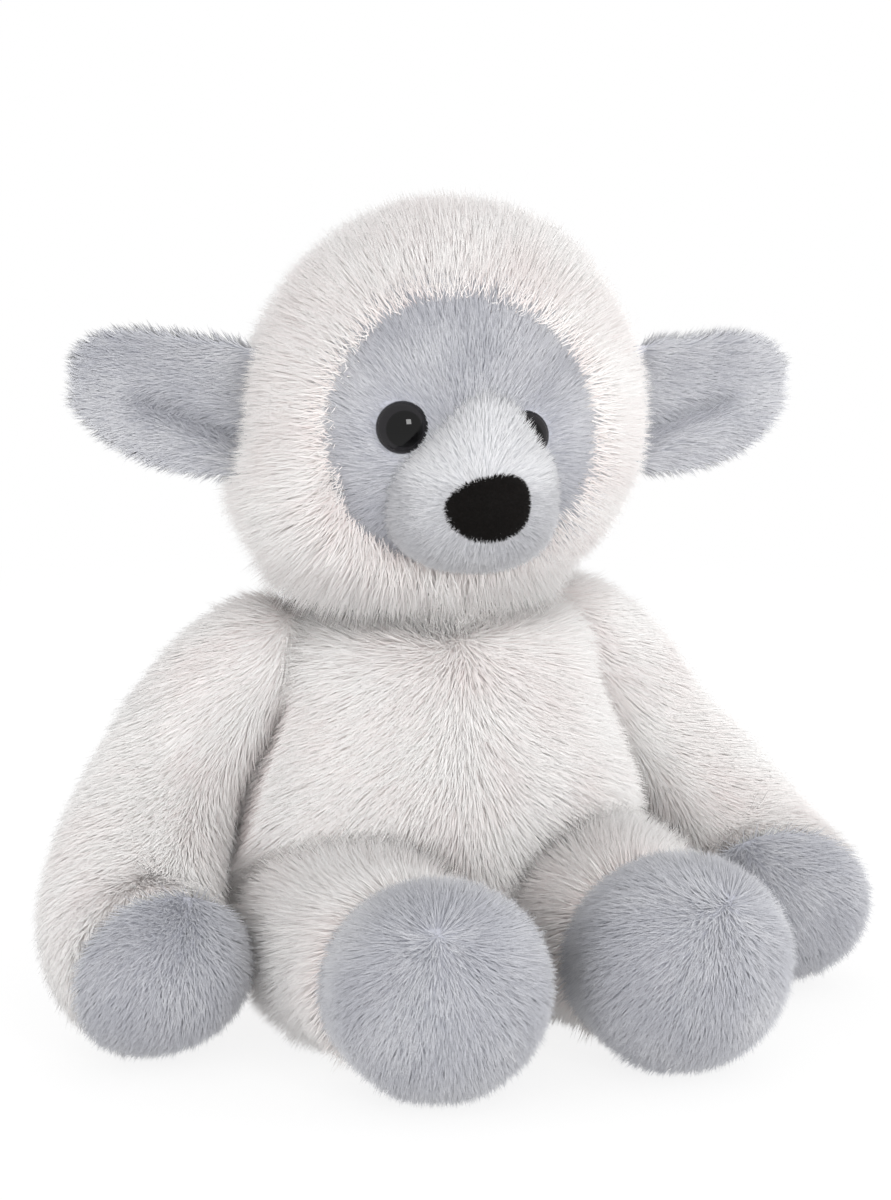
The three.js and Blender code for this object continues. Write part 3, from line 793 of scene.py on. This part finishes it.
def dressed(skin, body_name, nodes, fur, layers, seed):
    """Clothes a skin in its fur and gives it to a body."""
    slot, cloth, pile_finish = furs[fur]
    piles = grown(f"{skin.name}_pile", skin, pile_finish, seed, layers)
    skin.data.materials.append(finishes[cloth])
    for piece in (skin, *piles):
        stand_in(piece, body_name, nodes)


# Head

def opening_share(points):
    """How far points lie from the middle of the face, as a share of the opening's rim."""
    aside = (points[..., 0] - opening["aside"]) / opening["half_width"]
    rise = (points[..., 2] - opening["rise"]) / opening["half_height"]
    share = np.hypot(aside, rise)
    return np.where(points[..., 1] < 0, share, 9)


def eye_seat(side_name):
    """The place of an eye on the head, its dome towards +Z."""
    aside, rise, azimuth, sink = eye_places[side_name]
    face_half = (head["half_width"] - face_depth, head["front"] - face_depth)
    forward = face_half[1] * sqrt(1 - (aside / face_half[0]) ** 2) - sink
    seat = Matrix.Translation(Vector((aside, -forward, rise)) * MM)
    return seat @ Euler((pi / 2, 0, radians(azimuth)), "ZYX").to_matrix().to_4x4()


def nearest(points, places):
    """How far each point lies from the nearest of a few places."""
    return np.min([np.linalg.norm(points - place, axis=1) for place in places], axis=0)


face_way = (0, -1, 0)
head_ways = ways_round(face_way, 112, 84)
outer = stuffed(head_ways, head, head_centre, fleece_inset)
dent = 5 * (1 - ease(opening_share(outer), 0.9, 1.02))
crown = 2.2 * ease(outer[..., 2] - head_centre[2], 5, 50)
hood_form = stuffed(head_ways, head, head_centre, fleece_inset + dent + crown)
jowl = ease(head_centre[2] - hood_form[..., 2], 5, 35)
hood_form[..., 0] += jowl * (np.clip(hood_form[..., 0] / 20, -1, 1) - 5.4)
hood_form[..., 0] -= 2.4 * ease(hood_form[..., 0], 25, 50) * (1 - jowl)
hood_skin, points = closed_skin("hood_skin", hood_form)
share = opening_share(points)
at_back = ease(points[:, 1], 5, 40)[:, None]
comb = unit(points - (0, -50, 50)) * (1 - at_back) + (0, 0, -0.15) - at_back * (0, 0, 1)
rim = 1 - ease(share, 1.0, 1.22)
over_neck = (points[:, 2] < 12) * (1 - ease(np.hypot(points[:, 0], points[:, 1]), 22, 30))
density = ease(share, 0.95, 1.0) * (1 + 0.5 * rim) * (1 - over_neck)
cheek = ease(head_centre[2] - points[:, 2], 0, 30) * np.clip(-points[:, 0] / 40, -1, 1)
fringe = ease(18 - points[:, 2], 0, 8)
length = pile_lengths["hood"] - 2.0 * rim + 2.5 * cheek + 4.6 * fringe
hold = (1 - 0.6 * rim - 0.35 * cheek.clip(0) * (1 - rim)) * (1 - 0.65 * fringe)
groomed(hood_skin, head_place, comb, length, density, hold=hold)
dressed(hood_skin, "head", ["head_hood"], "white", wide_white_layers, 11)

# Face, muzzle and nose
face_ways = ways_round(face_way, 96, 40, reach=0.3)
front = stuffed(face_ways, head, head_centre, face_depth + plush_inset)
back = stuffed(face_ways[::-1], head, head_centre, face_depth + plush_inset + 3)
face_skin, points = closed_skin("face_skin", np.concatenate([front, back]))
share = opening_share(points)
comb = unit(points - (0, -52, 42))
normals = normals_of(face_skin.data)
eye_seats = [np.array(eye_seat(side_name).to_translation()) / MM for side_name in eye_places]
behind = np.linalg.norm((points - muzzle_centre) / (22, 100, 16), axis=1) < 1
density = (1 - ease(share, 0.96, 1.04)) * (normals[:, 1] < 0) * (1 - behind)
density = density * ease(nearest(points, eye_seats), eye["radius"] - 0.3, eye["radius"] + 0.7)
near_eye = 1 - ease(nearest(points, eye_seats), eye["radius"], eye["radius"] + 6)
length = pile_lengths["face"] + 2.5 * ease(share, 0.75, 1) - 2.4 * near_eye
groomed(face_skin, head_place, comb, length, density, tint=0.45 - 0.2 * ease(-points[:, 2], -46, -28))
dressed(face_skin, "head", ["face_panel"], "grey", face_layers, 21)

muzzle_form = stuffed(ways_round(face_way, 72, 48), muzzle, muzzle_centre, velour_inset)
height = (muzzle_form[..., 2] - muzzle_centre[2]) / muzzle["up"]
muzzle_form[..., 0] *= 1 - bridge["narrower"] * ease(height, 0.15, 0.9)
muzzle_form[..., 0] += bridge["aside"] * ease(height, 0.1, 0.6)
ahead = muzzle_form[..., 1] - muzzle_centre[1]
muzzle_form[..., 1] -= ahead * bridge["flatter"] * ease(height, 0.1, 0.8)
muzzle_skin, points = closed_skin("muzzle_skin", muzzle_form)
comb = unit(points - (0, -66, 36))
kept_clear = [seat + (away, 0, 0) for seat, away in zip(eye_seats, (5, -1))]
covered = ((points[:, 1] < -30) & (nearest(points, kept_clear) > eye["radius"])).astype(float)
pale = 0.1 + 0.3 * ease(-points[:, 1], 46, 60) + 0.45 * hump(points[:, 2], 34, 46, 56, 68)
groomed(muzzle_skin, head_place, comb, pile_lengths["muzzle"], covered, tint=pale)
muzzle_layers = [
    {"Density": 3.6e6, "Width": 0.0004, "Lean": 0.9, "Clump Size": 0.002, "Clump Pull": 0.3},
]
dressed(muzzle_skin, "head", ["muzzle"], "pale", muzzle_layers, 31)

nose_form = stuffed(ways_round(face_way, 48, 32), nose, nose_centre, 0.5)
nose_form[..., 2] += 0.2 * nose_form[..., 0] * ease(nose_form[..., 2] - nose_centre[2], -3, 7)
nose_skin, points = closed_skin("nose_skin", nose_form)
groomed(nose_skin, head_place, points - (0, -70, 36), pile_lengths["nose"], 1.0)
nose_layers = [
    {"Density": 9e6, "Width": 0.00022, "Lean": 0.5, "Jitter": 0.6, "Clump Pull": 0.1, "Patch Size": 0.001},
]
dressed(nose_skin, "head", ["nose"], "black", nose_layers, 35)

# Eyes: domes with a soft shoulder at the rim, each on a short shank
steps = 40
around = 64
shank_radius = 2.1
bevel = 0.3
profile = [(0.0, -eye["shank"]), (shank_radius, -eye["shank"]), (shank_radius, 0)]
profile += [(eye["radius"] - bevel, 0), (eye["radius"], bevel)]
for i in range(steps):
    angle = pi / 2 * i / steps
    height = eye["rim"] + (eye["dome"] - eye["rim"]) * sin(angle)
    profile.append((eye["radius"] * cos(angle), height))
profile.append((0.0, eye["dome"]))
turns = [2 * pi * i / around for i in range(around)]
rings = np.array([[(r * cos(turn), r * sin(turn), z) for turn in turns] for r, z in profile])
for side_name in eye_places:
    dome, points = closed_skin(f"eye_dome_{side_name}", rings)
    out = np.hypot(points[:, 0], points[:, 1]) / eye["radius"]
    put_attribute(dome.data, "iris", hump(out, 0.66, 0.72, 0.96, 1))
    dome.data.transform(head_place @ eye_seat(side_name))
    dome.data.materials.append(finishes["eye"])
    stand_in(dome, "head", [f"eye_{side_name}"])


# Ears

def ear_rings(inset, around=40, rows=40):
    """Rings of a stuffed leaf from its root to its tip."""
    share = np.linspace(-0.1, 1, rows + 1)
    bounded = np.clip(share, 0, 1)
    columns = spline(np.asarray(ear_shares), bounded)
    half = np.pi * 2 * np.arange(around) / around
    across = np.cos(half)
    high = columns[:, 1] * ear["half_height"]
    low = columns[:, 2] * ear["half_height"]
    cup = np.radians(ear_cup[0] + (ear_cup[1] - ear_cup[0]) * np.sqrt(bounded))
    x = np.where(share < 0, share, columns[:, 0]) * ear["length"]
    radius = (high - low) / 2 / np.sin(cup)
    tip = np.sqrt(np.maximum(1 - bounded ** 6, 0))
    rings = np.empty((rows + 1, around, 3))
    edge = 1 - inset / ear["half_height"]
    for i in range(around):
        side = across[i] * edge
        angle = side * cup
        forward = radius * (1 - np.cos(angle)) - radius * (1 - np.cos(cup)) / 2
        z = (high + low) / 2 + ear["lift"] * bounded + radius * np.sin(angle)
        thick = (5.5 - inset) * np.sin(half[i]) * tip
        rings[:, i, 0] = np.minimum(x, ear["length"] - inset + 1)
        rings[:, i, 1] = -forward - thick * np.cos(angle)
        rings[:, i, 2] = z - thick * np.sin(angle)
    rings[0] = rings[0].mean(0)
    rings[-1] = rings[-1].mean(0)
    return rings


ear_left, points = closed_skin("ear_left_skin", ear_rings(plush_inset))
fold_height = -9 + 0.3 * points[:, 0]
fold = np.exp(-((points[:, 2] - fold_height) / 3.2) ** 2) * ease(38 - points[:, 0], 0, 12)
fold = fold * (normals_of(ear_left.data)[:, 1] < 0)
put_points(ear_left.data, points + fold[:, None] * (0, 4.0, 0))
comb = np.stack([1 + 0 * points[:, 0], 0 * points[:, 0], points[:, 2] / 30], -1)
length = pile_lengths["ear"] - 1.5 * fold
density = ease(points[:, 0], -1.5, 1.5)
seat = Matrix.Translation(Vector((ear["aside"], ear["back"], ear["rise"])) * MM)
swept = seat @ Euler((0, 0, radians(ear_sweep))).to_matrix().to_4x4()
# The pile in the fold is tinted darker: painted shade in the crease.
groomed(ear_left, swept, comb, length, density, tint=0.5 - 0.9 * fold, hold=1 - 0.6 * fold)
ears = {"left": ear_left, "right": mirrored(ear_left)}
for side_name, skin in ears.items():
    placed(skin, head_place @ Matrix.Translation((0, 0, ear_shift[side_name] * MM)))
    nodes = [f"ear_front_{side_name}", f"ear_back_{side_name}"]
    dressed(skin, f"ear_{side_name}", nodes, "grey", grey_layers, 41)

# Neck
neck_size = dict(half_width=26, front=22, back=26, up=12, down=12, top=2, bottom=2)
neck_form = stuffed(ways_round((0, 0, -1), 64, 32), neck_size, (0, 0, neck_height - 3), 0)
neck_skin, points = closed_skin("neck_skin", neck_form)
comb = unit(points * (1, 1, 0) - (0, 0, 30))
# The neck pile is tinted near its palest: painted light against the shade under the chin.
groomed(neck_skin, toy_place, comb, pile_lengths["neck"], 0.6, tint=0.9, hold=0.6)
dressed(neck_skin, "neck", ["neck_filling"], "neck", white_layers, 51)

# Body
rings = body_points(fleece_inset, 96, 72)
for _ in range(3):
    rings = pushed_out_of(rings, lambda p: in_leg_room(p, -leg_press), (0, 12, 66))
    rings = rounded(rings, 4)
for flip in (np.ones(3), mirror):
    rings = pressed_by_plane(rings * flip, outside=False) * flip
body_skin, points = closed_skin("body_skin", rings)
outwards = np.tanh(points[:, 0] / 20) * (0.45 + 1.1 * ease(points[:, 2], 45, 95))
collar = ease(points[:, 2], 98, 113)
comb = np.stack([outwards, -0.5 * collar, -0.8 + 0.65 * collar], -1)
near_arm = np.maximum(*[((points * flip) - plane_point) @ lean_way for flip in (np.ones(3), mirror)])
beside_arm = ease(near_arm, -14, -2)[:, None]
comb = comb + 0.8 * beside_arm * np.sign(points[:, :1]) * (1, 0, 0)
pressed = pressed_share(near_arm, points)
length = pile_lengths["body"] - pressed_pile * pressed + 2.5 * collar
density = (1 - 0.65 * pressed) * (1 - 0.6 * ease(-points[:, 2], -9, -4))
density = density * (1 - 0.5 * ease(points[:, 2], 114.5, 116))
# Where the arms press, the pile is tinted darker: painted shade in the crease between arm and body.
groomed(body_skin, toy_place, comb, length, density, tint=0.6 - 0.3 * pressed, hold=1 - 0.3 * collar)
dressed(body_skin, "body", ["body"], "white", wide_white_layers, 61)

tail_skin, points = closed_skin("tail_skin", stuffed(ways_round((0, 1, 0), 40, 28), tail, tail_centre, 5))
comb = np.stack([points[:, 0] / 12, 0.5 + 0 * points[:, 0], -1 + 0 * points[:, 0]], -1)
groomed(tail_skin, toy_place, comb, pile_lengths["tail"], 1.0)
dressed(tail_skin, "body", ["tail"], "white", white_layers, 71)

# Arms and legs
arm_middle = [[shoulder[i] + arm_span[i] * row[i] for i in range(3)] for row in arm_shares]
arm_radii = [arm_radius * row[3] for row in arm_shares]
leg_radii = [leg_radius * row[1] for row in leg_shares]
leg_middle = []
for (forward, _), radius in zip(leg_shares, leg_radii):
    aside = hip["aside"] - leg_span["toe_in"] * forward
    leg_middle.append((aside, -hip["forward"] - leg_span["forward"] * forward, radius - floor_flat))
arm_swell = 5.0  # towards the body
arm_slim = 2.0  # away from it
left_arm_slim = 1.5  # more of the same on the toy's left


def limb_skin(name, limb, inset, first, last, against_body):
    """A part of the left limb, its points, and the way along the limb at each of them."""
    rings, ahead = limb_rings(
        limb["middle"], limb["radii"], inset, first, last,
        arm_swell * against_body, arm_slim * against_body, limb["spread"],
    )
    if against_body:
        rings = pressed_by_plane(rings, outside=True)
    rings[..., 2] = np.maximum(rings[..., 2], floor_clearance + 1.6)
    along = np.repeat(ahead[1:-1], rings.shape[1], axis=0)
    return *closed_skin(name, rings), np.vstack([along, ahead[0], ahead[-1]])


def limb_pair(upper_name, end_name, limb, against_body, hold, seed):
    """Both limbs of a kind: the upper part and its end on the left, and their mirror images."""
    name = f"{upper_name}_left_skin"
    upper, points, along = limb_skin(name, limb, limb["inset"], 0, limb["seam"], against_body)
    from_body = (points - plane_point) @ lean_way
    near = pressed_share(-from_body, points) * against_body
    inwards = ease(-from_body, -15, -2)[:, None] * against_body * lean_way
    facing = (normals_of(upper.data) * along).sum(-1)
    bare = ease(facing, 0.75, 0.95)
    length = pile_lengths[upper_name]
    if not against_body:
        bare = np.maximum(bare, ease(-facing, 0.75, 0.95))
        hold = hold * (1 - 0.7 * ease(facing, 0, 0.4))
        hipwards = ease(points[:, 1], -hip["forward"] - 42, -hip["forward"] - 24)
        hold = hold * (1 - 0.8 * hipwards)
        length = length + 2 * hipwards
    comb = along * limb["nap"] + (0.35, 0, -0.9 * (not against_body)) - inwards
    density = (1 - 0.65 * near) * (1 - bare)
    length = length - pressed_pile * near
    # Where the arm presses the body, the pile is tinted darker: painted shade in the crease.
    groomed(upper, toy_place, comb, length, density, tint=limb["tint"] - 0.3 * near, hold=hold)
    end, _, along = limb_skin(f"{end_name}_left_skin", limb, plush_inset, limb["seam"], 1, False)
    density = 1 - ease(-(normals_of(end.data) * along).sum(-1), 0.7, 0.95)
    flow = np.broadcast_to(limb["flow"], along.shape)
    groomed(end, toy_place, flow, pile_lengths["end"], density, tint=0.38)
    pairs = {"left": (upper, end), "right": (mirrored(upper), mirrored(end))}
    if against_body:
        outward = np.clip(normals_of(upper.data) @ lean_way, 0, 1)
        outward = outward * ease(points[:, 2], 38, 50) * ease(100 - points[:, 2], 0, 15)
        put_points(upper.data, points_of(upper.data) - left_arm_slim * outward[:, None] * lean_way)
    for side_name, (upper, end) in pairs.items():
        number = seed + (side_name == "right")
        body_name = f"{upper_name}_{side_name}"
        dressed(upper, body_name, [body_name], "white", white_layers, number)
        dressed(end, body_name, [f"{end_name}_{side_name}"], "grey", grey_layers, number + 10)


# nap: how the pile of the upper part lies; flow: how that of its end lies
arm = dict(
    middle=arm_middle, radii=arm_radii, seam=wrist_share, spread=0.12, inset=5.6,
    nap=(1.3, 0.35, 1), flow=(0.45, 0.3, -0.9), tint=0.6,
)
leg = dict(
    middle=leg_middle, radii=leg_radii, seam=ankle_share, spread=0.0, inset=3.6,
    nap=(-0.7, -0.7, -0.7), flow=(-0.25, 0.62, -0.74), tint=0.55,
)
limb_pair("arm", "hand", arm, True, 1.25, 81)
limb_pair("leg", "foot", leg, False, 1.0, 101)

# What stays hidden inside keeps its CAD shape
sides = ("left", "right")
limb_fillings = [f"{limb}_filling_{side}" for limb in ("arm", "leg") for side in sides]
hidden = {
    "filling": ["head_filling", "body_filling", *limb_fillings],
    "calico": ["pellet_bag"],
    "plastic": [f"eye_washer_{side}" for side in sides],
}
for finish, names in hidden.items():
    for name in names:
        materials = bpy.data.objects[name].data.materials
        materials.clear()
        materials.append(finishes[finish])

bpy.data.objects.remove(strand)

# Studio

def seen_directly(graph):
    """1 for rays that show a thing by camera, gloss or glass, 0 for those that only light others."""
    path = graph.node("ShaderNodeLightPath", output=None)
    seen = 0
    for kind in ("Camera", "Glossy", "Transmission"):
        ray = Wire(graph, path.outputs[f"Is {kind} Ray"])
        seen = graph.node("ShaderNodeMath", {"operation": "MAXIMUM"}, {0: seen, 1: ray})
    return seen


floor_mesh = bpy.data.meshes.new("floor")
floor_mesh.from_pydata([(-3, -3, 0), (3, -3, 0), (3, 3, 0), (-3, 3, 0)], [], [(0, 1, 2, 3)])
floor = new_object("floor", floor_mesh)
floor_material = bpy.data.materials.new("floor")
floor_material.use_nodes = True
floor_material.node_tree.nodes.clear()
g = Graph(floor_material.node_tree)
diffuse = g.node("ShaderNodeBsdfDiffuse", values={"Color": (0.97, 0.97, 0.97, 1)})
plain = g.node("ShaderNodeEmission", values={"Color": (1, 1, 1, 1), "Strength": 1.0})
seen = seen_directly(g)
where = g.node("ShaderNodeTexCoord", output="Object")
reach = g.node("ShaderNodeVectorMath", {"operation": "LENGTH"}, {0: where}, output="Value")
far = g.node("ShaderNodeMapRange", {"clamp": True}, {"Value": reach, "From Min": 0.2, "From Max": 0.7})
mixed = g.node("ShaderNodeMixShader", values={0: 0.35 + seen * (0.5 + far * 0.15), 1: diffuse, 2: plain})
g.node("ShaderNodeOutputMaterial", values={"Surface": mixed}, output=None)
floor.data.materials.append(floor_material)

world = bpy.data.worlds.new("studio")
scene.world = world
world.use_nodes = True
world.node_tree.nodes.clear()
g = Graph(world.node_tree)
light = g.node("ShaderNodeBackground", values={"Color": (1, 1, 1, 1), "Strength": 0.9})
backdrop = g.node("ShaderNodeBackground", values={"Color": (1, 1, 1, 1), "Strength": 1.0})
mixed = g.node("ShaderNodeMixShader", values={0: seen_directly(g), 1: light, 2: backdrop})
g.node("ShaderNodeOutputWorld", values={"Surface": mixed}, output=None)


middle = toy_place @ Vector((0, 0, 0.12))
feet = toy_place @ Vector((0, -0.06, 0.08))
lamps = {
    # name: place, aim, size in metres, power in watts
    "window": ((0.22, -1.5, 0.5), middle, 0.34, 5.5),
    "camera_side": ((-0.55, -1.45, 0.32), middle, 0.5, 3.2),
    "front": ((-0.3, -1.3, 0.95), middle, 1.2, 4.0),
    "left": ((-1.5, -0.5, 0.45), middle, 1.2, 3.4),
    "right": ((1.4, -0.6, 0.5), middle, 1.2, 7.4),
    "low": ((-0.9, -0.9, 0.15), feet, 0.6, 3.0),
    "back": ((0.3, 1.5, 0.8), middle, 1.4, 7.0),
}
for name, (place, aim, size, power) in lamps.items():
    light = bpy.data.lights.new(name, "AREA")
    light.shape = "SQUARE"
    light.size = size
    light.energy = power
    holder = new_object(name, light)
    holder.visible_glossy = name == "window"  # the only one that the eyes mirror
    holder.location = place
    holder.rotation_euler = (aim - Vector(place)).to_track_quat("-Z", "Y").to_euler()

azimuth = radians(camera_azimuth)
elevation = radians(camera_elevation)
rightwards = Vector((cos(azimuth), sin(azimuth), 0))
aim = toy_place @ Vector((0, 0, camera_aim["height"])) + rightwards * camera_aim["aside"]
back = Vector((sin(azimuth) * cos(elevation), -cos(azimuth) * cos(elevation), sin(elevation)))
lens = bpy.data.cameras.new("camera")
lens.sensor_fit = "AUTO"
lens.sensor_width = 36
lens.lens = camera_lens
lens.clip_end = 20
camera = new_object("camera", lens)
camera.location = aim + back * camera_distance
camera.rotation_euler = (-back).to_track_quat("-Z", "Y").to_euler()
scene.camera = camera
scene.view_settings.view_transform = "Standard"
scene.cycles.max_bounces = 20
scene.cycles.diffuse_bounces = 16
